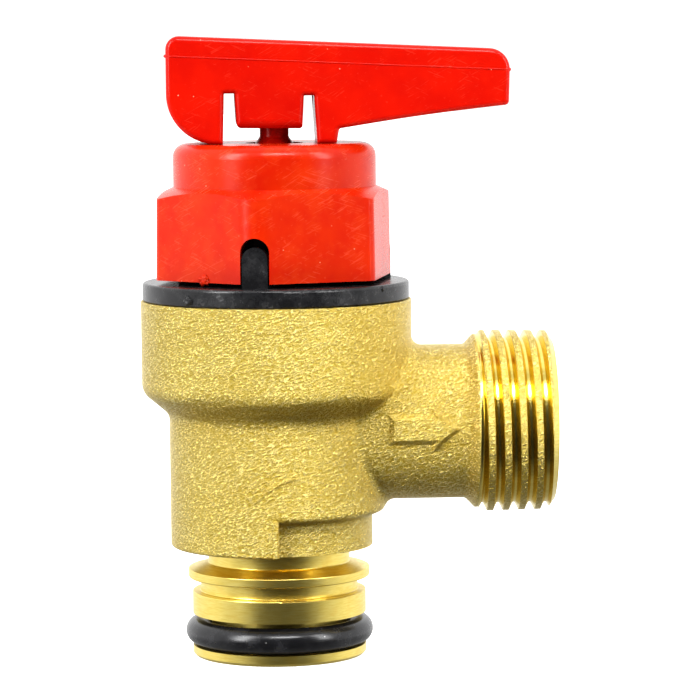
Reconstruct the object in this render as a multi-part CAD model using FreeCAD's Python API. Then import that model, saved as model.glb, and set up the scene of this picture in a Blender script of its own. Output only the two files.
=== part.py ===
import FreeCAD, Part
import math
import os

from FreeCAD import Vector

# Spring-loaded pressure relief valve with a plug-in inlet, a G1/2 outlet and a hand lever.
# Millimetres. +Z is the valve axis, +X points to the outlet.
# The origin is on the valve axis at the lower end of the inlet spigot.

# ---- inlet spigot ----
SPIGOT_R = 9.95
SPIGOT_CHAMFER = 0.3
LIP_TOP = 1.2
SEAL_GROOVE_R = 7.8
SEAL_GROOVE_TOP = 4.85
LAND_TOP = 7.4
CLIP_GROOVE_R = 9.0
CLIP_GROOVE_TOP = 9.0
COLLAR_R = 10.4
COLLAR_TOP = 10.0
COLLAR_CONE_TOP = 10.65
NECK_R = 8.1
INLET_BORE_R = 6.0

# ---- inlet O-ring ----
SEAL_WIRE_R = 1.47
SEAL_GAP = 0.01
SEAL_Z = 2.8

# ---- forged barrel ----
FORGING_BOTTOM = 12.6
BARREL_R = 12.35
SHOULDER_LOW = 27.8
SHOULDER_HIGH = 30.4
SHOULDER_HOLLOW_R = 1.6
SHOULDER_ROUND_R = 2.0
HOUSING_R = 15.43
HOUSING_TOP = 40.8
RECESS_R = 10.8
RECESS_TOP = 16.5
RECESS_LEDGE = 0.75
RECESS_START_DEG = -93.2
RECESS_SWEEP_DEG = 183.2
FRONT_RIDGE_R = 0.45

# ---- outlet stub ----
OUTLET_Z = 26.5
STUB_R = 8.83
STUB_FILLET_R = 1.2
FLARE_START = 21.4
FLARE_TOP = 22.45
FLARE_END = 22.95
FLARE_R = 9.95
OUTLET_END = 31.5
OUTLET_MOUTH_CHAMFER = 0.7
OUTLET_BORE_R = 6.0
OUTLET_BORE_START = 8.0

# ---- outlet thread, G1/2 right-hand ----
THREAD_R = 10.4
THREAD_ROOT_R = 9.45
THREAD_PITCH = 1.814
THREAD_HALF_ANGLE_DEG = 27.5
THREAD_CREST = 0.66
THREAD_LEAD_IN = 0.8
THREAD_FRONT_CREST_X = 23.8

# ---- flow arrow on the stub ----
ARROW_RELIEF = 0.5
ARROW_DRAFT_DEG = 45
ARROW_START = 12.4
ARROW_NECK = 17.4
ARROW_TIP = 20.5
ARROW_SHAFT = 3.15
ARROW_HEAD = 4.6

# ---- seat and chamber ----
SEAT_Z = 28.6
SEAT_BORE_TOP = 27.2
SEAT_BORE_R = 6.4
INLET_CHAMFER = 0.6
SEAT_TUBE_R = 7.6
SEAT_LIP_R = 6.9
SEAT_LIP_DROP = 0.7
CHAMBER_R = 10.6
CHAMBER_FLOOR = 20.0
DIAPHRAGM_LEDGE = 33.4
LEDGE_BORE_R = 12.9
HOUSING_THREAD_R = 13.5

# ---- diaphragm and the parts clamped to it ----
DIAPHRAGM_R = 12.7
DIAPHRAGM_BEAD_TOP = 35.2
DIAPHRAGM_BEAD_R = 10.9
DIAPHRAGM_CLAMP_R = 7.0
DIAPHRAGM_ROLL_R = 8.7
DIAPHRAGM_ROLL_TOP = 35.1
DIAPHRAGM_THICKNESS = 1.0
SLIP_RING_TOP = 35.8
SLIP_RING_BORE_R = 10.3
HOLDER_R = 8.3
HOLDER_RIM_BOTTOM = 29.3
WASHER_TOP = 30.4
WASHER_R = 7.55
HOLDER_TOP = 32.6
STUD_R = 3.2
STUD_TOP = 36.0
DIAPHRAGM_NUT_BOTTOM = 33.6
DIAPHRAGM_NUT_R = 6.3
DIAPHRAGM_NUT_FLANGE = 0.8
DIAPHRAGM_NUT_FLATS = 9.0
WASHER_SCREW_R = 1.5
WASHER_SCREW_HEAD_R = 4.2
WASHER_SCREW_HEAD = 1.0
WASHER_SCREW_SLOT = 0.9
WASHER_SCREW_END = 33.2

# ---- stem, spring and adjusting nut ----
STEM_R = 1.5
STEM_BOTTOM = 33.8
STEM_TOP = 57.0
CUP_TOP = 36.7
CUP_R = 8.1
CUP_RIM = 0.5
CUP_RIM_TOP = 37.9
STEM_NUT_FLATS = 5.5
STEM_NUT_TOP = 39.1
SPRING_R = 6.5
SPRING_WIRE_R = 0.8
SPRING_TURNS = 6.5
SPRING_END_GAP = 1.02
SPRING_POINTS_PER_TURN = 12
SPRING_TOP = 51.0
SPRING_WASHER_R = 8.0
SPRING_WASHER_TOP = 51.6
ADJUSTER_R = 8.55
ADJUSTER_TOP = 55.0
ADJUSTER_BORE_R = 2.38
ADJUSTER_SLOT = 2.0
ADJUSTER_SLOT_DEPTH = 1.4

# ---- bonnet ----
BONNET_THREAD_R = 13.45
BONNET_BORE_R = 8.6
BONNET_POCKET_R = 10.2
BONNET_POCKET_TOP = 38.5
FLANGE_R = 15.2
FLANGE_TOP = 42.9
BONNET_TUBE_R = 9.9
BONNET_TOP = 56.0
RIB_WIDTH = 2.9
RIB_R = 13.55
RIB_TOP = 47.5
RIB_COUNT = 3
RIB_FIRST_DEG = -101.2
SNAP_GROOVE_R = 9.5
SNAP_GROOVE_LOW = 52.4
SNAP_GROOVE_HIGH = 53.6

# ---- cap ----
CAP_BOTTOM = 43.4
CAP_FLATS_BOTTOM = 24.95
CAP_FLATS_TOP = 24.65
CAP_CORNER_FILLET = 1.0
CAP_NOTCHED_CORNER_FILLET = 3.6
HEX_SHOULDER_R = 14.43
HEX_CORNER_TOP = 52.4
HEX_TOP = 53.7
CAP_ROUND_R = 11.55
CAP_TOP = 58.6
CAP_TOP_ROUND = 1.5
CAP_BORE_R = 11.0
CAP_UPPER_BORE_R = 10.25
CAP_UPPER_BORE_Z = 51.0
CAP_ROOF = 1.6
CAP_HOLE_R = 3.3
NOTCH_WIDTH = 3.25
NOTCH_TOP = 48.5
SNAP_BEAD_R = 9.7
SNAP_BEAD = 0.8

# ---- stem head ----
PIN_Z = 62.0
PIN_R = 1.2
PIN_TIP = 4.3
SHANK_R = 2.3
SHANK_BOTTOM = 46.0
FLARE_FOOT_R = 2.15
NECK_FOOT = 59.3
HEAD_NECK_R = 1.66
HEAD_BOTTOM = 60.5
HEAD_HALF_LENGTH = 2.0
HEAD_HALF_WIDTH = 3.15

# ---- lever ----
LEVER_WIDTH = 10.0
LEVER_WALL = 1.7
LEVER_FOOT_GAP = 0.03
LEVER_LEFT = -12.2
LEVER_RIGHT = 26.6
LEVER_TOP_LEFT = 70.85
LEVER_TOP_RIGHT = 69.0
HEEL_CORNER_R = 1.5
TIP_CORNER_R = 2.4
LEVER_TIP_BOTTOM = 62.75
HEEL_R = 5.65
HEEL_FLAT_END = -5.85
ARM_START = 7.25
ARM_BOTTOM = 60.25
ARM_BOW_X = 17.0
ARM_BOW_Z = 61.75
ARM_BOW_R = 250.0
SLOT_TOP_LEFT = 64.3
SLOT_TOP_RIGHT = 64.0
TONGUE_LEFT = -4.5
TONGUE_RIGHT = 3.25
TONGUE_BOTTOM = 60.3
SLOT_WIDTH = 1.2
RIGHT_FOOT_END = 6.95
RIGHT_WEB = 1.8
TONGUE_ROUND = 1.1
LEVER_TOP_ROUND = 0.6
PIN_RECESS_R = 1.25
PIN_RECESS_END = 4.4

X_AXIS = Vector(1, 0, 0)
Y_AXIS = Vector(0, 1, 0)
Z_AXIS = Vector(0, 0, 1)
ORIGIN = Vector(0, 0, 0)
OUTLET_CENTRE = Vector(0, 0, OUTLET_Z)
LEVER_FOOT = CAP_TOP + LEVER_FOOT_GAP
REACH = 50.0
TINY = 1e-6


# ---- outlines and basic solids ----

def rounded_corner(before, corner, after, radius):
    """Start, middle and end of the arc that rounds a corner between two straight sides."""
    to_before = (before - corner).normalize()
    to_after = (after - corner).normalize()
    half = to_before.getAngle(to_after) / 2
    reach = radius / math.tan(half)
    inward = (to_before + to_after).normalize()
    middle = corner + inward * (radius / math.sin(half) - radius)
    return corner + to_before * reach, middle, corner + to_after * reach


def outline_face(points, place):
    """Flat face inside a closed outline of (u, v) or (u, v, rounding radius) corners."""
    corners = [place(point[0], point[1]) for point in points]
    count = len(points)
    stretches = []
    for i in range(count):
        radius = points[i][2] if len(points[i]) > 2 else 0
        if radius:
            stretches.append(rounded_corner(corners[i - 1], corners[i], corners[(i + 1) % count], radius))
        else:
            stretches.append((corners[i],))
    edges = []
    for i in range(count):
        if len(stretches[i]) == 3:
            edges.append(Part.Arc(*stretches[i]).toShape())
        start = stretches[i][-1]
        end = stretches[(i + 1) % count][0]
        if start.distanceToPoint(end) > TINY:
            edges.append(Part.LineSegment(start, end).toShape())
    return Part.Face(Part.Wire(edges))


def on_valve_axis(u, v):
    """A radius and a height in the half plane through the valve axis."""
    return Vector(u, 0, v)


def on_outlet_axis(u, v):
    """A distance along the outlet and a radius from its axis."""
    return Vector(u, 0, OUTLET_Z + v)


def turned(points, sweep_deg=360):
    """Solid turned about the valve axis from (radius, height) corners."""
    return outline_face(points, on_valve_axis).revolve(ORIGIN, Z_AXIS, sweep_deg)


def turned_on_outlet(points):
    """Solid turned about the outlet axis from (distance, radius) corners."""
    return outline_face(points, on_outlet_axis).revolve(OUTLET_CENTRE, X_AXIS, 360)


def disc(radius, z_low, z_high):
    """Round rod on the valve axis."""
    return Part.makeCylinder(radius, z_high - z_low, Vector(0, 0, z_low))


def ring(r_out, r_in, z_low, z_high):
    """Flat ring on the valve axis."""
    return turned([(r_in, z_low), (r_out, z_low), (r_out, z_high), (r_in, z_high)])


def hexagon(across_flats, z, first_corner_deg=0):
    """Closed hexagonal wire on the valve axis."""
    corner_r = across_flats / 2 / math.cos(math.radians(30))
    corners = []
    for i in range(7):
        angle = math.radians(first_corner_deg + 60 * i)
        corners.append(Vector(corner_r * math.cos(angle), corner_r * math.sin(angle), z))
    return Part.makePolygon(corners)


def hex_prism(across_flats, z_low, z_high):
    """Upright hexagonal prism on the valve axis."""
    return Part.Face(hexagon(across_flats, z_low)).extrude(Vector(0, 0, z_high - z_low))


def side_plate(points, half_width):
    """Plate cut to a side outline of (x, z) corners, centred across the width."""
    face = outline_face(points, lambda u, v: Vector(u, -half_width, v))
    return face.extrude(Vector(0, 2 * half_width, 0))


def turn_by(shape, angle_deg):
    """Copy of a shape turned about the valve axis."""
    copy = shape.copy()
    copy.rotate(ORIGIN, Z_AXIS, angle_deg)
    return copy


def around(shape, count, first_deg):
    """Copies of a radial feature, evenly spaced about the valve axis."""
    return [turn_by(shape, first_deg + i * 360.0 / count) for i in range(count)]


def round_edges(shape, radius, wanted):
    """Fillet the edges that the test function picks."""
    edges = [edge for edge in shape.Edges if wanted(edge)]
    return shape.makeFillet(radius, edges)


# ---- brass body ----

def spigot_and_barrel():
    """Turned spigot and round forged barrel, still solid inside."""
    spigot = turned([
        (0, 0),
        (SPIGOT_R - SPIGOT_CHAMFER, 0),
        (SPIGOT_R, SPIGOT_CHAMFER),
        (SPIGOT_R, LIP_TOP),
        (SEAL_GROOVE_R, LIP_TOP),
        (SEAL_GROOVE_R, SEAL_GROOVE_TOP),
        (SPIGOT_R, SEAL_GROOVE_TOP),
        (SPIGOT_R, LAND_TOP, 0.12),
        (CLIP_GROOVE_R, LAND_TOP, 0.15),
        (CLIP_GROOVE_R, CLIP_GROOVE_TOP, 0.15),
        (COLLAR_R, CLIP_GROOVE_TOP, 0.12),
        (COLLAR_R, COLLAR_TOP, 0.1),
        (NECK_R, COLLAR_CONE_TOP, 0.2),
        (NECK_R, FORGING_BOTTOM + 1),
        (0, FORGING_BOTTOM + 1),
    ])
    barrel = turned([
        (0, FORGING_BOTTOM),
        (BARREL_R, FORGING_BOTTOM, 0.35),
        (BARREL_R, SHOULDER_LOW, SHOULDER_HOLLOW_R),
        (HOUSING_R, SHOULDER_HIGH, SHOULDER_ROUND_R),
        (HOUSING_R, HOUSING_TOP, 0.15),
        (0, HOUSING_TOP),
    ])
    return spigot, barrel


def outlet_stub():
    """Outlet stub with the flared ridge that ends the forged surface, and the thread core."""
    return turned_on_outlet([
        (0, 0),
        (0, STUB_R),
        (FLARE_START, STUB_R, 0.6),
        (FLARE_TOP, FLARE_R, 0.25),
        (FLARE_END, FLARE_R, 0.2),
        (FLARE_END + 0.25, THREAD_ROOT_R),
        (OUTLET_END - 0.15, THREAD_ROOT_R),
        (OUTLET_END, THREAD_ROOT_R - 0.15),
        (OUTLET_END, 0),
    ])


def is_stub_crotch(edge):
    """True for the edges where the stub's round surface runs into the barrel."""
    for part in (0.1, 0.5, 0.9):
        point = edge.valueAt(edge.FirstParameter + part * (edge.LastParameter - edge.FirstParameter))
        off_axis = math.hypot(point.y, point.z - OUTLET_Z)
        if abs(off_axis - STUB_R) > 0.01 or not BARREL_R / 2 < point.x < HOUSING_R + 0.5:
            return False
    return True


def lower_recess():
    """Cutter that sets the outlet side of the lower barrel back, below a rounded ledge."""
    cutter = turned([
        (RECESS_R, FORGING_BOTTOM - 0.5),
        (RECESS_R, RECESS_TOP, RECESS_LEDGE),
        (BARREL_R, RECESS_TOP, RECESS_LEDGE),
        (BARREL_R, RECESS_TOP + RECESS_LEDGE),
        (BARREL_R + 0.15, RECESS_TOP + RECESS_LEDGE),
        (BARREL_R + 0.15, FORGING_BOTTOM - 0.5),
    ], RECESS_SWEEP_DEG)
    return turn_by(cutter, RECESS_START_DEG)


def front_ridge():
    """Small upright rounded ridge at the front end of the recess."""
    angle = math.radians(RECESS_START_DEG)
    centre_r = BARREL_R - FRONT_RIDGE_R * 0.7
    foot = Vector(centre_r * math.cos(angle), centre_r * math.sin(angle), FORGING_BOTTOM + 0.1)
    post = Part.makeCylinder(FRONT_RIDGE_R, RECESS_TOP - FORGING_BOTTOM, foot)
    tip = Part.makeSphere(FRONT_RIDGE_R, foot + Vector(0, 0, RECESS_TOP - FORGING_BOTTOM))
    return post.fuse(tip)


def grown(points, reach):
    """Sharp-cornered anticlockwise outline with every side moved outwards by reach."""
    moved = []
    for i in range(len(points)):
        before = (points[i] - points[i - 1]).normalize()
        after = (points[(i + 1) % len(points)] - points[i]).normalize()
        out_before = Vector(before.y, -before.x, 0)
        out_after = Vector(after.y, -after.x, 0)
        moved.append(points[i] + (out_before + out_after) * (reach / (1 + out_before.dot(out_after))))
    return moved


def flow_arrow():
    """Raised arrow on the front of the stub, pointing to the outlet, with sloping sides."""
    half_shaft = ARROW_SHAFT / 2
    half_head = ARROW_HEAD / 2
    outline = [
        Vector(ARROW_START, -half_shaft, 0),
        Vector(ARROW_NECK, -half_shaft, 0),
        Vector(ARROW_NECK, -half_head, 0),
        Vector(ARROW_TIP, 0, 0),
        Vector(ARROW_NECK, half_head, 0),
        Vector(ARROW_NECK, half_shaft, 0),
        Vector(ARROW_START, half_shaft, 0),
    ]
    wires = []
    for level in (-2 * ARROW_RELIEF, 1.1 * ARROW_RELIEF):
        corners = grown(outline, -level * math.tan(math.radians(ARROW_DRAFT_DEG)))
        places = [Vector(corner.x, -STUB_R - level, OUTLET_Z + corner.y) for corner in corners]
        wires.append(Part.makePolygon(places + places[:1]))
    skin = Part.makeCylinder(STUB_R + ARROW_RELIEF, FLARE_START, OUTLET_CENTRE, X_AXIS)
    band = Part.makeBox(FLARE_START, REACH, ARROW_HEAD, Vector(0, -REACH, OUTLET_Z - half_head))
    return Part.makeLoft(wires, True, True).common(skin).common(band)


def thread_ridge():
    """Helical ridge of the outlet thread, trimmed to the crest and the lead-in chamfer."""
    sink = 0.12
    half_crest = THREAD_CREST / 2
    depth = THREAD_R - THREAD_ROOT_R
    half_root = half_crest + (depth + sink) * math.tan(math.radians(THREAD_HALF_ANGLE_DEG))
    start = -2 * THREAD_PITCH
    profile = Part.makePolygon([
        Vector(THREAD_ROOT_R - sink, 0, start - half_root),
        Vector(THREAD_R + 0.05, 0, start - half_crest),
        Vector(THREAD_R + 0.05, 0, start + half_crest),
        Vector(THREAD_ROOT_R - sink, 0, start + half_root),
        Vector(THREAD_ROOT_R - sink, 0, start - half_root),
    ])
    length = OUTLET_END - FLARE_END + 4 * THREAD_PITCH
    helix = Part.makeLongHelix(THREAD_PITCH, length, THREAD_ROOT_R)
    helix.translate(Vector(0, 0, start))
    ridge = Part.Wire(helix.Edges).makePipeShell([profile], True, True)
    ridge.rotate(ORIGIN, Y_AXIS, 90)
    # after this turn the ridge leaves its start at the underside; a quarter turn later it is at the back
    quarter = THREAD_PITCH / 4
    ridge.translate(Vector(THREAD_FRONT_CREST_X + quarter, 0, OUTLET_Z))
    envelope = turned_on_outlet([
        (FLARE_TOP + 0.1, THREAD_ROOT_R - 2 * sink),
        (FLARE_TOP + 0.1, FLARE_R - 0.35),
        (FLARE_END + 0.4, THREAD_R, 0.2),
        (OUTLET_END - THREAD_LEAD_IN, THREAD_R, 0.3),
        (OUTLET_END, THREAD_ROOT_R - 0.2),
        (OUTLET_END, THREAD_ROOT_R - 2 * sink),
    ])
    return ridge.common(envelope)


def body_hollow():
    """Inlet bore, discharge chamber around the seat tube, diaphragm ledge and housing bore."""
    through = turned([
        (0, -1),
        (INLET_BORE_R + INLET_CHAMFER + 1, -1),
        (INLET_BORE_R, INLET_CHAMFER),
        (INLET_BORE_R, SEAT_BORE_TOP),
        (SEAT_BORE_R, SEAT_Z),
        (CHAMBER_R, SEAT_Z),
        (CHAMBER_R, DIAPHRAGM_LEDGE),
        (LEDGE_BORE_R, DIAPHRAGM_LEDGE),
        (LEDGE_BORE_R, SLIP_RING_TOP - 0.7),
        (HOUSING_THREAD_R, SLIP_RING_TOP - 0.1),
        (HOUSING_THREAD_R, HOUSING_TOP + 1),
        (0, HOUSING_TOP + 1),
    ])
    chamber = turned([
        (SEAT_TUBE_R, CHAMBER_FLOOR, 0.8),
        (CHAMBER_R, CHAMBER_FLOOR, 0.8),
        (CHAMBER_R, SEAT_Z + 0.1),
        (SEAT_LIP_R, SEAT_Z + 0.1),
        (SEAT_LIP_R, SEAT_Z - SEAT_LIP_DROP),
        (SEAT_TUBE_R, SEAT_Z - SEAT_LIP_DROP),
    ])
    outlet = turned_on_outlet([
        (OUTLET_BORE_START, 0),
        (OUTLET_BORE_START, OUTLET_BORE_R),
        (OUTLET_END - OUTLET_MOUTH_CHAMFER, OUTLET_BORE_R),
        (OUTLET_END + 1, OUTLET_BORE_R + OUTLET_MOUTH_CHAMFER + 1),
        (OUTLET_END + 1, 0),
    ])
    return [through, chamber, outlet]


def valve_body():
    """Forged and machined brass body, one piece."""
    spigot, barrel = spigot_and_barrel()
    forging = barrel.cut(lower_recess()).fuse(outlet_stub())
    forging = round_edges(forging, STUB_FILLET_R, is_stub_crotch)
    forging = forging.fuse([spigot, front_ridge(), flow_arrow()])
    hollowed = forging.cut(body_hollow())
    return hollowed.fuse(thread_ridge())


# ---- seals, disc and diaphragm ----

def inlet_o_ring():
    """Round-section ring that stands proud of the spigot groove."""
    return Part.makeTorus(SEAL_GROOVE_R + SEAL_GAP + SEAL_WIRE_R, SEAL_WIRE_R, Vector(0, 0, SEAL_Z))


def seat_washer():
    """Flat soft washer that closes the seat."""
    return ring(WASHER_R, WASHER_SCREW_R, SEAT_Z, WASHER_TOP)


def washer_screw():
    """Pan-head screw that holds the seat washer in its holder."""
    head_bottom = SEAT_Z - WASHER_SCREW_HEAD
    screw = turned([
        (0, head_bottom),
        (WASHER_SCREW_HEAD_R, head_bottom, 0.5),
        (WASHER_SCREW_HEAD_R, SEAT_Z),
        (WASHER_SCREW_R, SEAT_Z),
        (WASHER_SCREW_R, WASHER_SCREW_END),
        (0, WASHER_SCREW_END),
    ])
    slot_corner = Vector(-WASHER_SCREW_HEAD_R, -WASHER_SCREW_SLOT / 2, head_bottom)
    slot = Part.makeBox(2 * WASHER_SCREW_HEAD_R, WASHER_SCREW_SLOT, WASHER_SCREW_HEAD / 2, slot_corner)
    return screw.cut(slot)


def disc_holder():
    """Brass disc with a cup for the seat washer and a stud through the diaphragm."""
    return turned([
        (WASHER_SCREW_R, WASHER_TOP),
        (WASHER_R, WASHER_TOP),
        (WASHER_R, HOLDER_RIM_BOTTOM),
        (HOLDER_R, HOLDER_RIM_BOTTOM, 0.2),
        (HOLDER_R, HOLDER_TOP, 0.5),
        (STUD_R, HOLDER_TOP),
        (STUD_R, STUD_TOP, 0.2),
        (STEM_R, STUD_TOP),
        (STEM_R, STEM_BOTTOM),
        (0, STEM_BOTTOM),
        (0, WASHER_SCREW_END),
        (WASHER_SCREW_R, WASHER_SCREW_END),
    ])


def diaphragm():
    """Moulded rubber diaphragm: clamped middle, rolled web and a bead at the rim."""
    return turned([
        (STUD_R, HOLDER_TOP),
        (DIAPHRAGM_CLAMP_R, HOLDER_TOP, 0.8),
        (DIAPHRAGM_ROLL_R, DIAPHRAGM_ROLL_TOP - DIAPHRAGM_THICKNESS, 0.6),
        (DIAPHRAGM_BEAD_R - 0.9, DIAPHRAGM_LEDGE, 0.4),
        (DIAPHRAGM_R, DIAPHRAGM_LEDGE),
        (DIAPHRAGM_R, DIAPHRAGM_BEAD_TOP),
        (DIAPHRAGM_BEAD_R, DIAPHRAGM_BEAD_TOP, 0.3),
        (DIAPHRAGM_BEAD_R - 0.5, DIAPHRAGM_LEDGE + DIAPHRAGM_THICKNESS, 0.5),
        (DIAPHRAGM_ROLL_R, DIAPHRAGM_ROLL_TOP, 0.8),
        (DIAPHRAGM_CLAMP_R, DIAPHRAGM_NUT_BOTTOM, 0.8),
        (STUD_R, DIAPHRAGM_NUT_BOTTOM),
    ])


def diaphragm_nut():
    """Flanged nut that clamps the middle of the diaphragm on the stud."""
    flange_top = DIAPHRAGM_NUT_BOTTOM + DIAPHRAGM_NUT_FLANGE
    flange = disc(DIAPHRAGM_NUT_R, DIAPHRAGM_NUT_BOTTOM, flange_top)
    nut = flange.fuse(hex_prism(DIAPHRAGM_NUT_FLATS, flange_top, STUD_TOP))
    return nut.cut(disc(STUD_R, DIAPHRAGM_NUT_BOTTOM - 1, STUD_TOP + 1))


def slip_ring():
    """Flat ring that lets the bonnet turn without dragging the diaphragm's bead."""
    return ring(DIAPHRAGM_R, SLIP_RING_BORE_R, DIAPHRAGM_BEAD_TOP, SLIP_RING_TOP)


# ---- stem and spring ----

def stem():
    """Brass rod from the disc holder up into the stem head."""
    return turned([
        (0, STEM_BOTTOM),
        (STEM_R, STEM_BOTTOM),
        (STEM_R, STEM_TOP, 0.4),
        (0, STEM_TOP),
    ])


def lower_spring_cup():
    """Pressed cup that centres the lower end of the spring."""
    return turned([
        (STEM_R, STUD_TOP),
        (CUP_R, STUD_TOP, 0.5),
        (CUP_R, CUP_RIM_TOP),
        (CUP_R - CUP_RIM, CUP_RIM_TOP),
        (CUP_R - CUP_RIM, CUP_TOP, 0.15),
        (STEM_R, CUP_TOP),
    ])


def stem_nut():
    """Hexagonal nut that locks the spring cup on the stem."""
    return hex_prism(STEM_NUT_FLATS, CUP_TOP, STEM_NUT_TOP).cut(disc(STEM_R, CUP_TOP - 1, STEM_NUT_TOP + 1))


def spring_height(turn):
    """Height of the wire's centre after a number of turns: closed end coils, even pitch between."""
    free_height = SPRING_TOP - CUP_TOP - 2 * SPRING_WIRE_R
    end_pitch = 2 * SPRING_WIRE_R * SPRING_END_GAP
    pitch = (free_height - 2 * end_pitch) / (SPRING_TURNS - 2)
    bottom = CUP_TOP + SPRING_WIRE_R
    if turn < 1:
        return bottom + end_pitch * turn
    if turn < SPRING_TURNS - 1:
        return bottom + end_pitch + pitch * (turn - 1)
    return bottom + free_height - end_pitch * (SPRING_TURNS - turn)


def spring():
    """Round-wire compression spring with closed ends."""
    steps = int(SPRING_TURNS * SPRING_POINTS_PER_TURN)
    points = []
    for i in range(steps + 1):
        turn = SPRING_TURNS * i / steps
        angle = 2 * math.pi * turn
        points.append(Vector(SPRING_R * math.cos(angle), SPRING_R * math.sin(angle), spring_height(turn)))
    line = Part.BSplineCurve()
    line.interpolate(points)
    section = Part.Wire(Part.makeCircle(SPRING_WIRE_R, points[0], Y_AXIS))
    return Part.Wire(line.toShape()).makePipeShell([section], True, True)


def spring_washer():
    """Steel washer between the spring and the adjusting nut."""
    return ring(SPRING_WASHER_R, ADJUSTER_BORE_R + 0.4, SPRING_TOP, SPRING_WASHER_TOP)


def adjusting_nut():
    """Round threaded nut that loads the spring, with a cross slot for the setting tool."""
    nut = ring(ADJUSTER_R, ADJUSTER_BORE_R, SPRING_WASHER_TOP, ADJUSTER_TOP)
    slot_floor = ADJUSTER_TOP - ADJUSTER_SLOT_DEPTH
    slot = Part.makeBox(REACH, ADJUSTER_SLOT, REACH, Vector(-REACH / 2, -ADJUSTER_SLOT / 2, slot_floor))
    return nut.cut([slot, turn_by(slot, 90)])


# ---- bonnet and cap ----

def radial_post(width, r_in, r_out, z_low, z_high):
    """Round-topped upright block that runs outwards along +X."""
    corners = [
        (-width / 2, z_low),
        (width / 2, z_low),
        (width / 2, z_high, width / 2 - 0.001),
        (-width / 2, z_high, width / 2 - 0.001),
    ]
    face = outline_face(corners, lambda u, v: Vector(r_in, u, v))
    return face.extrude(Vector(r_out - r_in, 0, 0))


def bonnet():
    """Black spring housing: threaded skirt, flange, tube and three upright ribs."""
    shell = turned([
        (BONNET_POCKET_R, SLIP_RING_TOP),
        (BONNET_THREAD_R, SLIP_RING_TOP, 0.3),
        (BONNET_THREAD_R, HOUSING_TOP),
        (FLANGE_R, HOUSING_TOP, 0.2),
        (FLANGE_R, FLANGE_TOP, 0.35),
        (BONNET_TUBE_R, FLANGE_TOP, 0.4),
        (BONNET_TUBE_R, SNAP_GROOVE_LOW),
        (SNAP_GROOVE_R, SNAP_GROOVE_LOW + 0.2),
        (SNAP_GROOVE_R, SNAP_GROOVE_HIGH - 0.2),
        (BONNET_TUBE_R, SNAP_GROOVE_HIGH),
        (BONNET_TUBE_R, BONNET_TOP, 0.5),
        (BONNET_BORE_R, BONNET_TOP),
        (BONNET_BORE_R, BONNET_POCKET_TOP),
        (BONNET_POCKET_R, BONNET_POCKET_TOP - 1.6),
    ])
    rib = radial_post(RIB_WIDTH, BONNET_TUBE_R - 0.5, RIB_R, FLANGE_TOP - 0.5, RIB_TOP)
    return shell.fuse(around(rib, RIB_COUNT, RIB_FIRST_DEG))


def stands_at(edge, angle_deg):
    """Whether an edge runs upright at one angle about the valve axis."""
    middle = edge.BoundBox.Center
    off_deg = (math.degrees(math.atan2(middle.y, middle.x)) - angle_deg + 180) % 360 - 180
    return edge.BoundBox.ZLength > 1 and abs(off_deg) < 3


def cap_outside():
    """Hexagonal skirt under a round top: corners chamfered above, and well rounded where they are notched."""
    wires = [
        hexagon(CAP_FLATS_BOTTOM, CAP_BOTTOM, RIB_FIRST_DEG),
        hexagon(CAP_FLATS_TOP, HEX_TOP + 1, RIB_FIRST_DEG),
    ]
    skirt = Part.makeLoft(wires, True, True)
    for i in range(6):
        corner_deg = RIB_FIRST_DEG + 60 * i
        radius = CAP_CORNER_FILLET if i % 2 else CAP_NOTCHED_CORNER_FILLET
        skirt = round_edges(skirt, radius, lambda edge: stands_at(edge, corner_deg))
    dome = turned([
        (0, CAP_BOTTOM),
        (HEX_SHOULDER_R + 0.6, CAP_BOTTOM),
        (HEX_SHOULDER_R + 0.6, HEX_CORNER_TOP - 0.27),
        (CAP_ROUND_R, HEX_TOP),
        (0, HEX_TOP),
    ])
    top = turned([
        (0, HEX_TOP - 1),
        (CAP_ROUND_R, HEX_TOP - 1),
        (CAP_ROUND_R, CAP_TOP, CAP_TOP_ROUND),
        (0, CAP_TOP),
    ])
    return skirt.common(dome).fuse(top)


def cap():
    """Red cap that clips over the bonnet, with a notch for each rib."""
    bead_middle = (SNAP_GROOVE_LOW + SNAP_GROOVE_HIGH) / 2
    hollow = turned([
        (0, CAP_BOTTOM - 1),
        (CAP_BORE_R, CAP_BOTTOM - 1),
        (CAP_BORE_R, CAP_UPPER_BORE_Z, 0.6),
        (CAP_UPPER_BORE_R, CAP_UPPER_BORE_Z, 0.3),
        (CAP_UPPER_BORE_R, bead_middle - SNAP_BEAD / 2),
        (SNAP_BEAD_R, bead_middle, 0.2),
        (CAP_UPPER_BORE_R, bead_middle + SNAP_BEAD / 2),
        (CAP_UPPER_BORE_R, CAP_TOP - CAP_ROOF, 0.8),
        (0, CAP_TOP - CAP_ROOF),
    ])
    notch = radial_post(NOTCH_WIDTH, CAP_BORE_R - 1, HEX_SHOULDER_R + 2, CAP_BOTTOM - 1, NOTCH_TOP)
    stem_hole = disc(CAP_HOLE_R, CAP_TOP - CAP_ROOF - 1, CAP_TOP + 1)
    return cap_outside().cut([hollow, stem_hole] + around(notch, RIB_COUNT, RIB_FIRST_DEG))


# ---- stem head and lever ----

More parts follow.
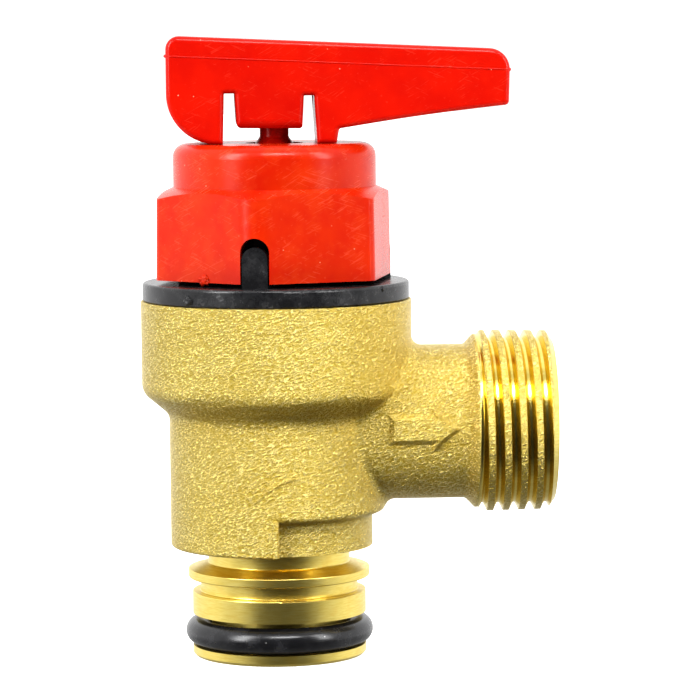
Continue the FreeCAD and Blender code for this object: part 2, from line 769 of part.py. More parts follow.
def stem_head():
    """Red stem head: bored shank, waisted neck and the trunnions that carry the lever."""
    shank = turned([
        (STEM_R, SHANK_BOTTOM),
        (SHANK_R, SHANK_BOTTOM, 0.3),
        (SHANK_R, CAP_TOP - 0.3, 0.2),
        (FLARE_FOOT_R, CAP_TOP, 0.2),
        (HEAD_NECK_R, NECK_FOOT, 0.4),
        (HEAD_NECK_R, HEAD_BOTTOM + 1),
        (0, HEAD_BOTTOM + 1),
        (0, STEM_TOP),
        (STEM_R, STEM_TOP),
    ])
    head = side_plate([
        (-HEAD_HALF_LENGTH, HEAD_BOTTOM, 0.4),
        (HEAD_HALF_LENGTH, HEAD_BOTTOM, 0.4),
        (HEAD_HALF_LENGTH, PIN_Z + HEAD_HALF_LENGTH, HEAD_HALF_LENGTH - 0.01),
        (-HEAD_HALF_LENGTH, PIN_Z + HEAD_HALF_LENGTH, HEAD_HALF_LENGTH - 0.01),
    ], HEAD_HALF_WIDTH)
    pin = Part.makeCylinder(PIN_R, 2 * PIN_TIP, Vector(0, -PIN_TIP, PIN_Z), Y_AXIS)
    return shank.fuse([head, pin])


def lever_side():
    """Side outline of the lever: heel, slot, tongue, slot, foot and tapered arm."""
    return [
        (LEVER_LEFT, LEVER_TOP_LEFT, HEEL_CORNER_R),
        (LEVER_RIGHT, LEVER_TOP_RIGHT, TIP_CORNER_R),
        (LEVER_RIGHT - 0.2, LEVER_TIP_BOTTOM, 0.5),
        (ARM_BOW_X, ARM_BOW_Z, ARM_BOW_R),
        (ARM_START, ARM_BOTTOM, 0.3),
        (RIGHT_FOOT_END, LEVER_FOOT, 0.15),
        (TONGUE_RIGHT + SLOT_WIDTH + 0.3, LEVER_FOOT, 0.1),
        (TONGUE_RIGHT + SLOT_WIDTH, SLOT_TOP_RIGHT, 0.12),
        (TONGUE_RIGHT + 0.05, SLOT_TOP_RIGHT, 0.12),
        (TONGUE_RIGHT - 0.15, TONGUE_BOTTOM, 0.4),
        (TONGUE_LEFT + 0.2, TONGUE_BOTTOM + 0.1, 0.6),
        (TONGUE_LEFT, SLOT_TOP_LEFT, 0.12),
        (TONGUE_LEFT - SLOT_WIDTH, SLOT_TOP_LEFT, 0.12),
        (HEEL_FLAT_END, LEVER_FOOT, 0.12),
        (LEVER_LEFT, LEVER_FOOT, HEEL_R),
    ]


def lever_hollows():
    """The two pockets moulded into the lever from below."""
    roof_left = LEVER_TOP_LEFT - LEVER_WALL
    roof_right = LEVER_TOP_RIGHT - LEVER_WALL
    half_width = LEVER_WIDTH / 2 - LEVER_WALL
    web_left = TONGUE_RIGHT + SLOT_WIDTH + 0.1
    heel_floor = LEVER_FOOT + LEVER_WALL
    head_pocket = side_plate([
        (LEVER_LEFT + LEVER_WALL, roof_left, 0.5),
        (web_left, roof_left - 0.5, 0.5),
        (web_left, LEVER_FOOT - 1),
        (HEEL_FLAT_END + 0.02, LEVER_FOOT - 1),
        (HEEL_FLAT_END + 0.02, heel_floor, 0.3),
        (LEVER_LEFT + LEVER_WALL, heel_floor, HEEL_R - LEVER_WALL),
    ], half_width)
    arm_pocket = side_plate([
        (web_left + RIGHT_WEB, roof_left - 0.8, 0.5),
        (LEVER_RIGHT - LEVER_WALL, roof_right, 0.5),
        (LEVER_RIGHT - LEVER_WALL, LEVER_FOOT - 1),
        (web_left + RIGHT_WEB, LEVER_FOOT - 1),
    ], half_width)
    recess = Part.makeCylinder(PIN_RECESS_R, 2 * PIN_RECESS_END, Vector(0, -PIN_RECESS_END, PIN_Z), Y_AXIS)
    return [head_pocket, arm_pocket, recess]


def tongue_rounding(side):
    """Cutter that rounds the tongue's lower outer edge; side is -1 for the front, 1 for the back."""
    face_y = LEVER_WIDTH / 2
    start_y = face_y - TONGUE_ROUND - 0.01
    corners = [
        (start_y, TONGUE_BOTTOM - 1),
        (start_y, TONGUE_BOTTOM),
        (face_y, TONGUE_BOTTOM, TONGUE_ROUND),
        (face_y, TONGUE_BOTTOM + TONGUE_ROUND + 0.01),
        (face_y + 1, TONGUE_BOTTOM + TONGUE_ROUND + 0.01),
        (face_y + 1, TONGUE_BOTTOM - 1),
    ]
    face = outline_face(corners, lambda u, v: Vector(TONGUE_LEFT - 0.1, side * u, v))
    return face.extrude(Vector(TONGUE_RIGHT - TONGUE_LEFT + 0.2, 0, 0))


def is_top_edge(edge):
    """True for the long outer edges of the lever's top, with their rounded ends."""
    box = edge.BoundBox
    on_side = abs(abs(box.Center.y) - LEVER_WIDTH / 2) < 0.001 and box.YLength < 0.001
    return on_side and box.ZMin > LEVER_TOP_RIGHT - TIP_CORNER_R - 0.3


def lever():
    """Hand lever: an upside-down channel whose heel works against the cap."""
    blank = side_plate(lever_side(), LEVER_WIDTH / 2)
    blank = round_edges(blank, LEVER_TOP_ROUND, is_top_edge)
    return blank.cut(lever_hollows() + [tongue_rounding(-1), tongue_rounding(1)])


NODES = {
    "valve_body": valve_body,
    "inlet_o_ring": inlet_o_ring,
    "seat_washer": seat_washer,
    "washer_screw": washer_screw,
    "disc_holder": disc_holder,
    "diaphragm": diaphragm,
    "diaphragm_nut": diaphragm_nut,
    "slip_ring": slip_ring,
    "stem": stem,
    "lower_spring_cup": lower_spring_cup,
    "stem_nut": stem_nut,
    "spring": spring,
    "spring_washer": spring_washer,
    "adjusting_nut": adjusting_nut,
    "bonnet": bonnet,
    "cap": cap,
    "stem_head": stem_head,
    "lever": lever,
}

os.makedirs("parts", exist_ok=True)
for name, make in NODES.items():
    shape = make()
    solids = shape.Solids
    print(name, "solids", len(solids), "valid", shape.isValid(), "volume", round(shape.Volume, 1))
    shape.exportStep("parts/" + name + ".step")
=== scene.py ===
import math

import bmesh
import bpy
from mathutils import Matrix, Vector, noise


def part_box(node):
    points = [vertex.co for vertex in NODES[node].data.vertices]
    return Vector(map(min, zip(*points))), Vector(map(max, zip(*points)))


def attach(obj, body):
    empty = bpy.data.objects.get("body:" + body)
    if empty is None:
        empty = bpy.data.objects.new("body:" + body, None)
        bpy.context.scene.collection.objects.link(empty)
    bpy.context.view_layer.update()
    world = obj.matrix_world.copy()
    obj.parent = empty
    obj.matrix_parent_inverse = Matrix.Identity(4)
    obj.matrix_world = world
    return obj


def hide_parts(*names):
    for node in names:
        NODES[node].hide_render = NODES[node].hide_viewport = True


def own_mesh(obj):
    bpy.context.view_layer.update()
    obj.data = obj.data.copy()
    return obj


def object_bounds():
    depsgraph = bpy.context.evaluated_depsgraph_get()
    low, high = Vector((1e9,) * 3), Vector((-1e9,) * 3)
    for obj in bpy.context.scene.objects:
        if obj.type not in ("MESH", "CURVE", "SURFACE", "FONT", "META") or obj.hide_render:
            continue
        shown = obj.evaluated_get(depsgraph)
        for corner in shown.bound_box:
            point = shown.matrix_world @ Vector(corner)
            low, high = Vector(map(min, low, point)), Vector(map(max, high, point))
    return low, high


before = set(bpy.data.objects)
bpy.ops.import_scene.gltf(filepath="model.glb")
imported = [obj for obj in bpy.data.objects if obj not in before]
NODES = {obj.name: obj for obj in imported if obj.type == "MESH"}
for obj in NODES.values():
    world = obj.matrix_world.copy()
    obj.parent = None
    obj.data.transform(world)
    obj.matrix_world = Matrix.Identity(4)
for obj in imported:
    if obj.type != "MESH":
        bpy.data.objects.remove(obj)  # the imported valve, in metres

MM = 0.001
CAD_LOW, CAD_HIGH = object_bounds()

# ---- where things are on the valve ----
LEVER_LOW, LEVER_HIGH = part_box("lever")
CAP_SKIRT_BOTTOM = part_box("cap")[0].z
FLANGE_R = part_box("bonnet")[1].x
OUTLET_AXIS_Z = 26.5 * MM
FORGING_BOTTOM = 12.6 * MM
BARREL_R = 12.35 * MM
FLARE_START = 22.5 * MM
THREAD_CREST_R = 10.15 * MM
INNER_BORE_R = 6.6 * MM
OUTLET_BORE_START = 8.0 * MM
CHAMBER_R = 10.75 * MM
CAP_FACE_DISTANCE = 12.475 * MM
CAP_LEFT_FACE_DEG = -41.2
LEVER_TOP_LEFT = 70.85 * MM
LEVER_TOP_RIGHT = 69.0 * MM

# ---- camera ----
LOOK_AT = Vector((8.4, 0.0, 34.8)) * MM
CAMERA_DISTANCE = 0.400
CAMERA_AZIMUTH_DEG = -2.5
CAMERA_PITCH_DEG = 5.3
CAMERA_ROLL_DEG = -0.55
CAMERA_LENS = 179.74
CAMERA_SENSOR = 36.0

# ---- floor and light ----
FLOOR_GLOW = 0.62
FLOOR_FRONT = 0.065
FLOOR_REACH = 2.5
FLOOR_GAP = 0.05 * MM
WORLD_STRENGTH = 1.25
# (direction, brightness): direction 0 is full front or straight down, 1 is full back or straight up
WORLD_FRONT_TO_BACK = ((0.0, 0.05), (0.16, 0.10), (0.32, 0.50), (0.50, 1.0))
WORLD_DOWN_TO_UP = ((0.0, 0.22), (0.30, 0.42), (0.45, 0.95), (0.60, 1.0))
# name, azimuth and elevation in degrees, distance, width and height in metres, power in watts
SOFTBOXES = (
    ("softbox_left", -52, 25, 0.55, 0.15, 0.44, 2.9),
    ("softbox_right", 56, 25, 0.55, 0.11, 0.44, 1.9),
    ("softbox_top", 4, 46, 0.60, 0.32, 0.12, 2.4),
)


class Surface:
    """One procedural material, with short calls for the shader nodes it is made from."""

    def __init__(self, name, roughness=0.5, metallic=0.0, **sockets):
        self.material = bpy.data.materials.new(name)
        self.material.use_nodes = True
        self.tree = self.material.node_tree
        self.shader = self.tree.nodes["Principled BSDF"]
        self.shader.inputs["Roughness"].default_value = roughness
        self.shader.inputs["Metallic"].default_value = metallic
        for socket, value in sockets.items():
            self.shader.inputs[socket.replace("_", " ")].default_value = value
        self.place = self.tree.nodes.new("ShaderNodeTexCoord").outputs["Object"]

    def put(self, socket, value):
        """Links an output to a socket, or sets the socket to a plain value."""
        if isinstance(value, bpy.types.NodeSocket):
            self.tree.links.new(value, socket)
        else:
            socket.default_value = value

    def math(self, operation, *values, clamp=False):
        node = self.tree.nodes.new("ShaderNodeMath")
        node.operation = operation
        node.use_clamp = clamp
        for socket, value in zip(node.inputs, values):
            self.put(socket, value)
        return node.outputs[0]

    def axes(self):
        """X, Y and Z of the place on the piece, in metres."""
        node = self.tree.nodes.new("ShaderNodeSeparateXYZ")
        self.put(node.inputs[0], self.place)
        return node.outputs

    def stretched(self, scale, turn_deg=(0, 0, 0)):
        """The place, turned and then scaled along each axis, for grain with a direction."""
        turn = self.tree.nodes.new("ShaderNodeMapping")
        turn.inputs["Rotation"].default_value = [math.radians(a) for a in turn_deg]
        self.put(turn.inputs["Vector"], self.place)
        size = self.tree.nodes.new("ShaderNodeMapping")
        size.inputs["Scale"].default_value = scale
        self.put(size.inputs["Vector"], turn.outputs[0])
        return size.outputs[0]

    def noise(self, grain, detail=2.0, roughness=0.5, place=None, distortion=0.0):
        """Noise whose lumps are about grain metres across."""
        node = self.tree.nodes.new("ShaderNodeTexNoise")
        node.inputs["Scale"].default_value = 1.0 / grain
        node.inputs["Detail"].default_value = detail
        node.inputs["Roughness"].default_value = roughness
        node.inputs["Distortion"].default_value = distortion
        self.put(node.inputs["Vector"], place or self.place)
        return node.outputs["Fac"]

    def cells(self, grain, place=None):
        """Distance to the nearest of scattered points about grain metres apart, in grains."""
        node = self.tree.nodes.new("ShaderNodeTexVoronoi")
        node.inputs["Scale"].default_value = 1.0 / grain
        self.put(node.inputs["Vector"], place or self.place)
        return node.outputs["Distance"]

    def ramp(self, value, low, high, smooth=True):
        """0 up to low, 1 from high, and a straight or smooth rise between them."""
        node = self.tree.nodes.new("ShaderNodeMapRange")
        node.interpolation_type = "SMOOTHSTEP" if smooth else "LINEAR"
        self.put(node.inputs["Value"], value)
        node.inputs["From Min"].default_value = low
        node.inputs["From Max"].default_value = high
        return node.outputs["Result"]

    def between(self, factor, low, high):
        """A number that goes from low to high as factor goes from 0 to 1."""
        node = self.tree.nodes.new("ShaderNodeMapRange")
        self.put(node.inputs["Value"], factor)
        self.put(node.inputs["To Min"], low)
        self.put(node.inputs["To Max"], high)
        return node.outputs["Result"]

    def tint(self, factor, first, second, mode="MIX"):
        """A colour mixed from first to second by factor."""
        node = self.tree.nodes.new("ShaderNodeMix")
        node.data_type = "RGBA"
        node.blend_type = mode
        node.clamp_factor = True
        self.put(node.inputs["Factor"], factor)
        for socket, value in (("A", first), ("B", second)):
            is_output = isinstance(value, bpy.types.NodeSocket)
            self.put(node.inputs[socket], value if is_output else (*value, 1))
        return next(output for output in node.outputs if output.type == "RGBA")

    def colour(self, value):
        self.put(self.shader.inputs["Base Color"], value)

    def roughness(self, value):
        self.put(self.shader.inputs["Roughness"], value)

    def bump(self, *layers):
        """Stacks bump layers, each (height, depth in metres, strength)."""
        normal = None
        for height, depth, strength in layers:
            node = self.tree.nodes.new("ShaderNodeBump")
            self.put(node.inputs["Height"], height)
            node.inputs["Distance"].default_value = depth
            self.put(node.inputs["Strength"], strength)
            if normal is not None:
                self.put(node.inputs["Normal"], normal)
            normal = node.outputs["Normal"]
        self.put(self.shader.inputs["Normal"], normal)

    def distance_from(self, first, second):
        """Distance from an axis, out of two coordinates measured from it."""
        across = self.math("MULTIPLY", first, first)
        upwards = self.math("MULTIPLY", second, second)
        return self.math("SQRT", self.math("ADD", across, upwards))


# ---- materials ----

def lathe_lines(surface, along, pitch):
    """Fine turned grooves across one axis: a height that changes only along it, and slightly round it."""
    scale = [0.06, 0.06, 0.06]
    scale[along] = 1.0
    return surface.noise(pitch, detail=3, roughness=0.7, place=surface.stretched(scale))


def forged_brass():
    """Shot-blasted forging, with the spigot, thread, end faces and bores machined bright."""
    s = Surface("forged_brass", metallic=1.0)
    x, y, z = s.axes()
    up = s.math("SUBTRACT", z, OUTLET_AXIS_Z)
    from_outlet = s.distance_from(y, up)
    from_axis = s.distance_from(x, y)

    spigot = s.math("LESS_THAN", z, FORGING_BOTTOM - 0.05 * MM)
    thread = s.ramp(x, FLARE_START, FLARE_START + 0.25 * MM)
    crest = s.ramp(from_outlet, THREAD_CREST_R, THREAD_CREST_R + 0.1 * MM)
    cut_thread = s.math("MULTIPLY", thread, s.between(crest, 1.0, 0.15))
    chamber = s.math("LESS_THAN", from_axis, CHAMBER_R)
    outlet_bore = s.math("LESS_THAN", from_outlet, INNER_BORE_R)
    outlet_bore = s.math("MULTIPLY", outlet_bore, s.math("GREATER_THAN", x, OUTLET_BORE_START))
    bores = s.math("MAXIMUM", chamber, outlet_bore)
    machined = s.math("MAXIMUM", s.math("MAXIMUM", spigot, cut_thread), bores, clamp=True)

    streaks = s.stretched((0.62, 0.62, 1.45), (0, 24, 0))
    grains = s.noise(0.26 * MM, detail=5, roughness=0.66, place=streaks)
    coarse = s.noise(0.70 * MM, detail=3, roughness=0.6, place=streaks)
    pits = s.ramp(s.cells(0.42 * MM, place=streaks), 0.05, 0.60)
    patches = s.noise(5.0 * MM, detail=2)
    blasted = s.tint(s.ramp(grains, 0.40, 0.66), (0.54, 0.385, 0.062), (0.86, 0.735, 0.30))
    # Darker colour in the pits' hollows: painted shade.
    blasted = s.tint(s.between(s.ramp(pits, 0.0, 0.35), 0.35, 0.0), blasted, (0.22, 0.145, 0.012))
    blasted = s.tint(s.between(s.ramp(patches, 0.45, 0.75), 0.0, 0.25), blasted, (0.58, 0.42, 0.07))

    rings = lathe_lines(s, 2, 0.10 * MM)
    stains = s.noise(2.6 * MM, detail=3, roughness=0.6)
    bright = s.tint(s.ramp(rings, 0.3, 0.7), (0.78, 0.60, 0.14), (0.88, 0.73, 0.24))
    bright = s.tint(s.between(s.ramp(stains, 0.55, 0.75), 0.0, 0.30), bright, (0.80, 0.52, 0.09))
    s.colour(s.tint(machined, blasted, bright))

    rough = s.between(s.ramp(grains, 0.3, 0.7), 0.36, 0.24)
    smooth = s.math("ADD", s.between(stains, 0.0, 0.10), s.between(spigot, 0.15, 0.28))
    s.roughness(s.math("ADD", s.math("MULTIPLY", rough, s.math("SUBTRACT", 1.0, machined)),
                       s.math("MULTIPLY", smooth, machined)))
    unfinished = s.math("SUBTRACT", 1.0, machined)
    s.bump(
        (s.noise(4.0 * MM, detail=2), 0.16 * MM, s.between(unfinished, 0.0, 0.6)),
        (coarse, 0.18 * MM, s.between(unfinished, 0.0, 0.8)),
        (pits, 0.04 * MM, s.between(unfinished, 0.0, 0.8)),
        (grains, 0.27 * MM, s.between(unfinished, 0.0, 1.0)),
        (rings, 0.004 * MM, s.between(machined, 0.0, 0.7)),
    )
    return s.material


def turned_brass():
    """Bright turned brass with fine lathe lines."""
    s = Surface("turned_brass", metallic=1.0)
    lines = lathe_lines(s, 2, 0.12 * MM)
    stains = s.noise(2.0 * MM, detail=3)
    s.colour(s.tint(s.ramp(lines, 0.3, 0.7), (0.72, 0.52, 0.14), (0.86, 0.67, 0.24)))
    s.roughness(s.between(stains, 0.18, 0.34))
    s.bump((lines, 0.004 * MM, 0.8))
    return s.material


def zinc_steel():
    """Zinc-plated steel, faintly mottled."""
    s = Surface("zinc_steel", metallic=1.0)
    mottle = s.noise(1.2 * MM, detail=4, roughness=0.6)
    s.colour(s.tint(s.ramp(mottle, 0.35, 0.65), (0.50, 0.51, 0.53), (0.68, 0.68, 0.67)))
    s.roughness(s.between(mottle, 0.24, 0.42))
    s.bump((s.noise(0.2 * MM, detail=3), 0.01 * MM, 0.4))
    return s.material


def seal_rubber():
    """Satin black rubber with a faint mould line haze and a few dust specks."""
    s = Surface("seal_rubber", IOR=1.5, Specular_IOR_Level=0.5)
    haze = s.noise(1.6 * MM, detail=4, roughness=0.65)
    specks = s.math("LESS_THAN", s.cells(0.85 * MM), 0.075)
    thin = s.math("MULTIPLY", specks, s.ramp(s.noise(2.4 * MM), 0.52, 0.60))
    black = s.tint(s.ramp(haze, 0.4, 0.75), (0.006, 0.006, 0.007), (0.016, 0.016, 0.018))
    s.colour(s.tint(thin, black, (0.30, 0.30, 0.29)))
    s.roughness(s.between(haze, 0.18, 0.34))
    s.bump(
        (s.noise(1.3 * MM, detail=2, place=s.stretched((0.3, 0.3, 1.6))), 0.03 * MM, 0.35),
        (s.noise(0.12 * MM, detail=3), 0.006 * MM, 0.5),
    )
    return s.material


def bonnet_black():
    """Black glass-filled nylon: semi-gloss, with flow mottling and light handling marks."""
    s = Surface("bonnet_black", IOR=1.5, Specular_IOR_Level=0.42)
    flow = s.noise(1.4 * MM, detail=4, roughness=0.7)
    scuffs = s.noise(0.35 * MM, detail=3, place=s.stretched((0.35, 0.35, 1.4), (0, 12, 0)))
    worn = s.math("MULTIPLY", s.ramp(scuffs, 0.60, 0.70), s.ramp(flow, 0.50, 0.65))
    black = s.tint(s.ramp(flow, 0.35, 0.7), (0.009, 0.009, 0.010), (0.022, 0.022, 0.023))
    s.colour(s.tint(s.math("MULTIPLY", worn, 0.5), black, (0.13, 0.13, 0.13)))
    s.roughness(s.between(flow, 0.18, 0.34))
    s.bump(
        (flow, 0.02 * MM, 0.5),
        (s.noise(0.16 * MM, detail=3), 0.012 * MM, 0.6),
    )
    return s.material


def moulded_red(name, light, deep, hazy, roughness, wear):
    """Semi-gloss red nylon: cloudy colour, faint crossing scratches and rubbed patches."""
    s = Surface(name, IOR=1.5, Specular_IOR_Level=0.24)
    cloud = s.noise(5.5 * MM, detail=3, roughness=0.6)
    fine = s.noise(0.45 * MM, detail=4, roughness=0.65)
    marks = []
    for turn in ((0, 27, 0), (8, 34, 20), (-6, -21, 0)):
        hairs = s.noise(0.15 * MM, detail=2, place=s.stretched((0.05, 0.05, 1.0), turn))
        marks.append(s.ramp(hairs, 0.60, 0.74))
    hairs = s.math("MAXIMUM", s.math("MAXIMUM", marks[0], marks[1]), marks[2])
    rubbed = s.ramp(s.noise(3.2 * MM, detail=3, roughness=0.7), 0.44, 0.66)
    scratched = s.math("MULTIPLY", hairs, s.math("MULTIPLY", rubbed, wear))
    specks = s.math("LESS_THAN", s.cells(1.5 * MM), 0.05)
    specks = s.math("MULTIPLY", specks, s.ramp(cloud, 0.45, 0.55))
    red = s.tint(s.ramp(cloud, 0.3, 0.7), deep, light)
    red = s.tint(s.math("MULTIPLY", rubbed, 0.30 * wear), red, hazy)
    red = s.tint(s.math("MULTIPLY", s.ramp(fine, 0.55, 0.8), 0.25), red, hazy)
    red = s.tint(s.math("MULTIPLY", scratched, 0.15), red, (0.90, 0.20, 0.12))
    s.colour(s.tint(s.math("MULTIPLY", specks, 0.6), red, (0.90, 0.45, 0.32)))
    uneven = s.between(fine, roughness - 0.06, roughness + 0.08)
    s.roughness(s.math("ADD", uneven, s.math("MULTIPLY", scratched, 0.2)))
    s.bump(
        (s.noise(2.2 * MM, detail=2), 0.03 * MM, 0.35),
        (fine, 0.012 * MM, 0.5),
        (hairs, 0.003 * MM, s.math("MULTIPLY", rubbed, 0.9)),
    )
    return s.material


def floor_white():
    """Matt white studio floor, lit through from below, with a trace of paper grain."""
    s = Surface("floor_white", roughness=0.9, Specular_IOR_Level=0.1)
    s.shader.inputs["Emission Color"].default_value = (1, 1, 1, 1)
    s.shader.inputs["Emission Strength"].default_value = FLOOR_GLOW
    grain = s.noise(3.0 * MM, detail=3)
    s.colour(s.tint(grain, (0.78, 0.78, 0.78), (0.82, 0.82, 0.82)))
    s.bump((grain, 0.02 * MM, 0.2))
    return s.material


FORGED = forged_brass()
TURNED = turned_brass()
STEEL = zinc_steel()
RUBBER = seal_rubber()
BLACK = bonnet_black()
CAP_RED = moulded_red(
    "cap_red",
    light=(0.48, 0.022, 0.001),
    deep=(0.42, 0.012, 0.001),
    hazy=(0.52, 0.048, 0.008),
    roughness=0.24,
    wear=1.0,
)
LEVER_RED = moulded_red(
    "lever_red",
    light=(0.50, 0.008, 0.001),
    deep=(0.44, 0.005, 0.001),
    hazy=(0.54, 0.020, 0.005),
    roughness=0.24,
    wear=0.45,
)

NODE_MATERIALS = {
    "valve_body": FORGED,
    "inlet_o_ring": RUBBER,
    "seat_washer": RUBBER,
    "washer_screw": STEEL,
    "disc_holder": TURNED,
    "diaphragm": RUBBER,
    "diaphragm_nut": TURNED,
    "slip_ring": STEEL,
    "stem": TURNED,
    "lower_spring_cup": STEEL,
    "stem_nut": STEEL,
    "spring": STEEL,
    "spring_washer": STEEL,
    "adjusting_nut": TURNED,
    "bonnet": BLACK,
    "cap": CAP_RED,
    "stem_head": LEVER_RED,
    "lever": LEVER_RED,
}
for node_name, material in NODE_MATERIALS.items():
    mesh = NODES[node_name].data
    mesh.materials.clear()
    mesh.materials.append(material)


# ---- pieces added to the frame ----

def new_piece(name, mesh, material, body):
    """A piece of the valve: linked, smooth, with its material, riding on its body."""
    piece = bpy.data.objects.new(name, mesh)
    bpy.context.scene.collection.objects.link(piece)
    mesh.materials.clear()
    mesh.materials.append(material)
    mesh.polygons.foreach_set("use_smooth", [True] * len(mesh.polygons))
    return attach(piece, body)


def mesh_from(bm, name):
    """Closed, outward-facing mesh out of a bmesh."""
    bmesh.ops.recalc_face_normals(bm, faces=bm.faces)
    mesh = bpy.data.meshes.new(name)
    bm.to_mesh(mesh)
    bm.free()
    return mesh


def soft_copy(name, node, body):
    """A copy of a node, with a mesh of its own, that takes the place of the hidden node."""
    source = NODES[node]
    piece = new_piece(name, source.data.copy(), NODE_MATERIALS[node], body)
    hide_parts(node)
    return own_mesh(piece)


soft_copy("valve_spring", "spring", "valve")
soft_copy("rolling_diaphragm", "diaphragm", "valve")


# ---- marks left by moulding, forging and handling ----

UP = Vector((0, 0, 1))
RIDGE_SINK = 0.06 * MM
RIDGE_SHOULDER_RISE = 0.7
RIDGE_SHOULDER_SPREAD = 0.45


def ridge(name, stations, closed, material, body):
    """Thin raised line through stations of (place, outward, across, height, half width)."""
    bm = bmesh.new()
    rows = []
    for place, out, across, height, half_width in stations:
        foot = place - out * RIDGE_SINK
        shoulder = place + out * (height * RIDGE_SHOULDER_RISE)
        spread = half_width * RIDGE_SHOULDER_SPREAD
        section = (
            foot - across * half_width,
            shoulder - across * spread,
            place + out * height,
            shoulder + across * spread,
            foot + across * half_width,
        )
        rows.append([bm.verts.new(corner) for corner in section])
    for i in range(len(rows) if closed else len(rows) - 1):
        here, following = rows[i], rows[(i + 1) % len(rows)]
        for j in range(len(here)):
            k = (j + 1) % len(here)
            bm.faces.new((here[j], following[j], following[k], here[k]))
    if not closed:
        bm.faces.new(rows[0][::-1])
        bm.faces.new(rows[-1])
    return new_piece(name, mesh_from(bm, name), material, body)


def lever_parting_line():
    """Mould parting line round the lever, parallel to its top, with thicker flash across both ends."""
    drop = 2.3 * MM
    cut = 0.5 * MM
    lumps = 1.1 * MM
    side_fin = (0.07 * MM, 0.13 * MM)  # height and half width
    end_fin = (0.20 * MM, 0.26 * MM)
    slope = (LEVER_TOP_RIGHT - LEVER_TOP_LEFT) / (LEVER_HIGH.x - LEVER_LOW.x)
    x0, x1, y0, y1 = LEVER_LOW.x, LEVER_HIGH.x, LEVER_LOW.y, LEVER_HIGH.y
    sides = (
        ((x0 + cut, y0), (x1 - cut, y0), (0, -1), side_fin, 60),
        ((x1, y0 + cut), (x1, y1 - cut), (1, 0), end_fin, 16),
        ((x1 - cut, y1), (x0 + cut, y1), (0, 1), side_fin, 60),
        ((x0, y1 - cut), (x0, y0 + cut), (-1, 0), end_fin, 16),
    )
    stations = []
    for start, end, out, (height, half_width), steps in sides:
        for i in range(steps + 1):
            x = start[0] + (end[0] - start[0]) * i / steps
            y = start[1] + (end[1] - start[1]) * i / steps
            z = LEVER_TOP_LEFT + slope * (x - x0) - drop
            place = Vector((x, y, z))
            uneven = 1 + 0.6 * noise.noise(place / lumps)
            stations.append((place, Vector((*out, 0)), UP, height * uneven, half_width))
    return ridge("lever_parting_line", stations, True, LEVER_RED, "lever")


def forging_lap():
    """Shallow raised lap that runs up across the front of the barrel."""
    height = 0.13 * MM
    half_width = 0.42 * MM
    course = (
        (-2.9, 18.7),
        (-2.2, 19.5),
        (-1.4, 20.3),
        (-0.5, 20.9),
        (0.6, 21.35),
        (1.7, 21.55),
        (2.5, 21.6),
    )
    stations = []
    for i, (x, z) in enumerate(course):
        place = Vector((x * MM, -math.sqrt(BARREL_R ** 2 - (x * MM) ** 2), z * MM))
        out = Vector((place.x, place.y, 0)).normalized()
        before = course[max(i - 1, 0)]
        after = course[min(i + 1, len(course) - 1)]
        run = Vector((after[0] - before[0], 0, after[1] - before[1])).normalized()
        swell = math.sin(math.pi * (i + 0.4) / (len(course) - 0.2))
        stations.append((place, out, run.cross(out).normalized(), height * swell, half_width * swell))
    return ridge("forging_lap", stations, False, FORGED, "valve")


def lump(name, place, out, half_sizes, seed, material):
    """Uneven blob of moulded plastic: half sizes run along the surface, outwards and upwards."""
    bm = bmesh.new()
    bmesh.ops.create_icosphere(bm, subdivisions=4, radius=1.0)
    along = UP.cross(out)
    shift = Vector((seed, 0, 0))
    for vert in bm.verts:
        broad = 0.50 * noise.noise(vert.co * 1.7 + shift)
        fine = 0.30 * noise.noise(vert.co * 4.5 + shift)
        p = vert.co * (1 + broad + fine)
        spread = along * (p.x * half_sizes[0]) + out * (p.y * half_sizes[1]) + UP * (p.z * half_sizes[2])
        vert.co = place + spread
    return new_piece(name, mesh_from(bm, name), material, "valve")


def cap_gate_mark():
    """Torn-off moulding nub that hangs under the cap's skirt, left of the front notch."""
    turn = math.radians(CAP_LEFT_FACE_DEG)
    out = Vector((math.sin(turn), -math.cos(turn), 0))
    place = out * CAP_FACE_DISTANCE + UP * (CAP_SKIRT_BOTTOM + 0.25 * MM)
    half_sizes = (0.80 * MM, 0.30 * MM, 0.52 * MM)
    lump("cap_gate_mark", place, out, half_sizes, 3.0, CAP_RED)


def flange_mark(name, x, z, half_sizes, seed):
    """Small raised mark on the rim of the bonnet flange, its place and half sizes in millimetres."""
    out = Vector((x * MM, -math.sqrt(FLANGE_R ** 2 - (x * MM) ** 2), 0)).normalized()
    place = out * FLANGE_R + UP * (z * MM)
    lump(name, place, out, [size * MM for size in half_sizes], seed, BLACK)


lever_parting_line()
forging_lap()
cap_gate_mark()
flange_mark("flange_gate_mark", -10.0, 41.5, (0.62, 0.24, 0.48), 1.0)
flange_mark("flange_nick_right", 11.7, 42.5, (0.20, 0.14, 0.30), 5.0)
flange_mark("flange_nick_middle", 2.6, 42.45, (0.24, 0.09, 0.16), 8.0)


# ---- floor, light and camera ----

def studio_floor():
    """Level floor under the valve that shows to the camera but not in reflections."""
    bm = bmesh.new()
    left, right, front, back = -FLOOR_REACH, FLOOR_REACH, -FLOOR_FRONT, FLOOR_REACH
    corners = ((left, front), (right, front), (right, back), (left, back))
    bm.faces.new([bm.verts.new((*corner, 0)) for corner in corners])
    mesh = mesh_from(bm, "floor")
    floor = bpy.data.objects.new("floor", mesh)
    floor.location.z = CAD_LOW.z - FLOOR_GAP
    bpy.context.scene.collection.objects.link(floor)
    mesh.materials.append(floor_white())
    floor.visible_glossy = False


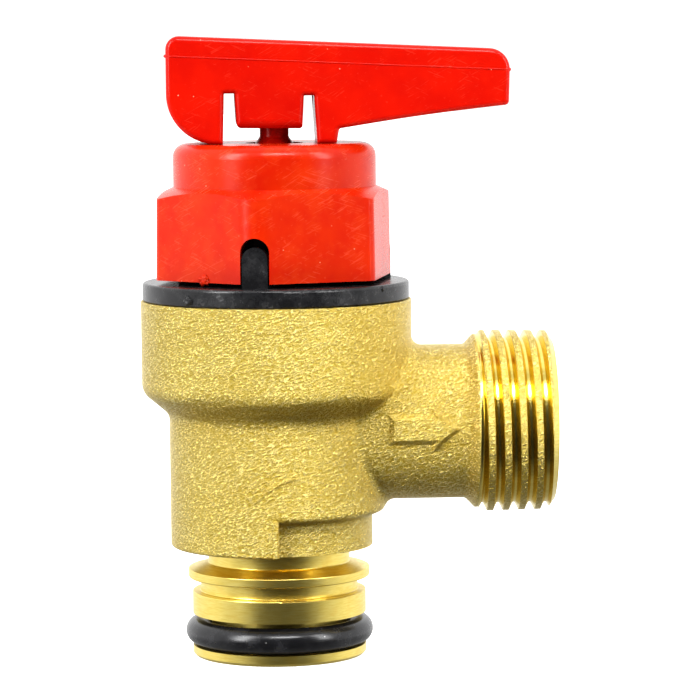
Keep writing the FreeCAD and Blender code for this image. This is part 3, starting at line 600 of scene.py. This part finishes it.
def studio_world():
    """White for the camera; for light and reflections, dim in front and below, bright behind and above."""
    world = bpy.data.worlds.new("studio")
    bpy.context.scene.world = world
    world.use_nodes = True
    tree = world.node_tree
    tree.nodes.clear()
    link = tree.links.new
    axes = tree.nodes.new("ShaderNodeSeparateXYZ")
    link(tree.nodes.new("ShaderNodeTexCoord").outputs["Generated"], axes.inputs[0])

    def shade_along(axis, shades):
        """Brightness that follows one axis of the direction."""
        ramp = tree.nodes.new("ShaderNodeValToRGB")
        ramp.color_ramp.interpolation = "EASE"
        stops = ramp.color_ramp.elements
        while len(stops) < len(shades):
            stops.new(1.0)
        for stop, (where, shade) in zip(stops, shades):
            stop.position = where
            stop.color = (shade, shade, shade, 1)
        half = tree.nodes.new("ShaderNodeMath")
        half.operation = "MULTIPLY_ADD"
        half.inputs[1].default_value = 0.5
        half.inputs[2].default_value = 0.5
        link(axes.outputs[axis], half.inputs[0])
        link(half.outputs[0], ramp.inputs["Fac"])
        return ramp.outputs["Color"]

    both = tree.nodes.new("ShaderNodeVectorMath")
    both.operation = "MULTIPLY"
    link(shade_along("Y", WORLD_FRONT_TO_BACK), both.inputs[0])
    link(shade_along("Z", WORLD_DOWN_TO_UP), both.inputs[1])
    lit = tree.nodes.new("ShaderNodeBackground")
    lit.inputs["Strength"].default_value = WORLD_STRENGTH
    link(both.outputs[0], lit.inputs["Color"])
    seen = tree.nodes.new("ShaderNodeBackground")
    seen.inputs["Color"].default_value = (1, 1, 1, 1)
    seen.inputs["Strength"].default_value = 1.0
    mix = tree.nodes.new("ShaderNodeMixShader")
    link(tree.nodes.new("ShaderNodeLightPath").outputs["Is Camera Ray"], mix.inputs["Fac"])
    link(lit.outputs[0], mix.inputs[1])
    link(seen.outputs[0], mix.inputs[2])
    link(mix.outputs[0], tree.nodes.new("ShaderNodeOutputWorld").inputs["Surface"])


def softbox(name, azimuth_deg, elevation_deg, distance, width, height, watts):
    """Rectangular soft light aimed at the valve. Azimuth 0 is on the camera's side, + to the right."""
    light = bpy.data.lights.new(name, "AREA")
    light.shape = "RECTANGLE"
    light.size = width
    light.size_y = height
    light.energy = watts
    lamp = bpy.data.objects.new(name, light)
    azimuth, elevation = math.radians(azimuth_deg), math.radians(elevation_deg)
    level = math.cos(elevation)
    back = Vector((math.sin(azimuth) * level, -math.cos(azimuth) * level, math.sin(elevation)))
    lamp.location = LOOK_AT + back * distance
    lamp.rotation_euler = (-back).to_track_quat("-Z", "Y").to_euler()
    bpy.context.scene.collection.objects.link(lamp)


def studio_camera():
    """Long-lens camera a little above the valve, rolled slightly, with everything in focus."""
    camera = bpy.data.objects.new("camera", bpy.data.cameras.new("camera"))
    camera.data.lens = CAMERA_LENS
    camera.data.sensor_width = CAMERA_SENSOR
    camera.data.clip_start = 0.01
    camera.data.clip_end = 50.0
    azimuth, pitch = math.radians(CAMERA_AZIMUTH_DEG), math.radians(CAMERA_PITCH_DEG)
    level = math.cos(pitch)
    forward = Vector((-math.sin(azimuth) * level, math.cos(azimuth) * level, -math.sin(pitch)))
    camera.location = LOOK_AT - forward * CAMERA_DISTANCE
    roll = Matrix.Rotation(math.radians(CAMERA_ROLL_DEG), 3, "Z")
    camera.rotation_euler = (forward.to_track_quat("-Z", "Y").to_matrix() @ roll).to_euler()
    bpy.context.scene.collection.objects.link(camera)
    bpy.context.scene.camera = camera


studio_floor()
studio_world()
for softbox_values in SOFTBOXES:
    softbox(*softbox_values)
studio_camera()

view = bpy.context.scene.view_settings
view.view_transform = "Standard"
view.look = "Medium High Contrast"
view.exposure = 0.0
view.gamma = 1.0
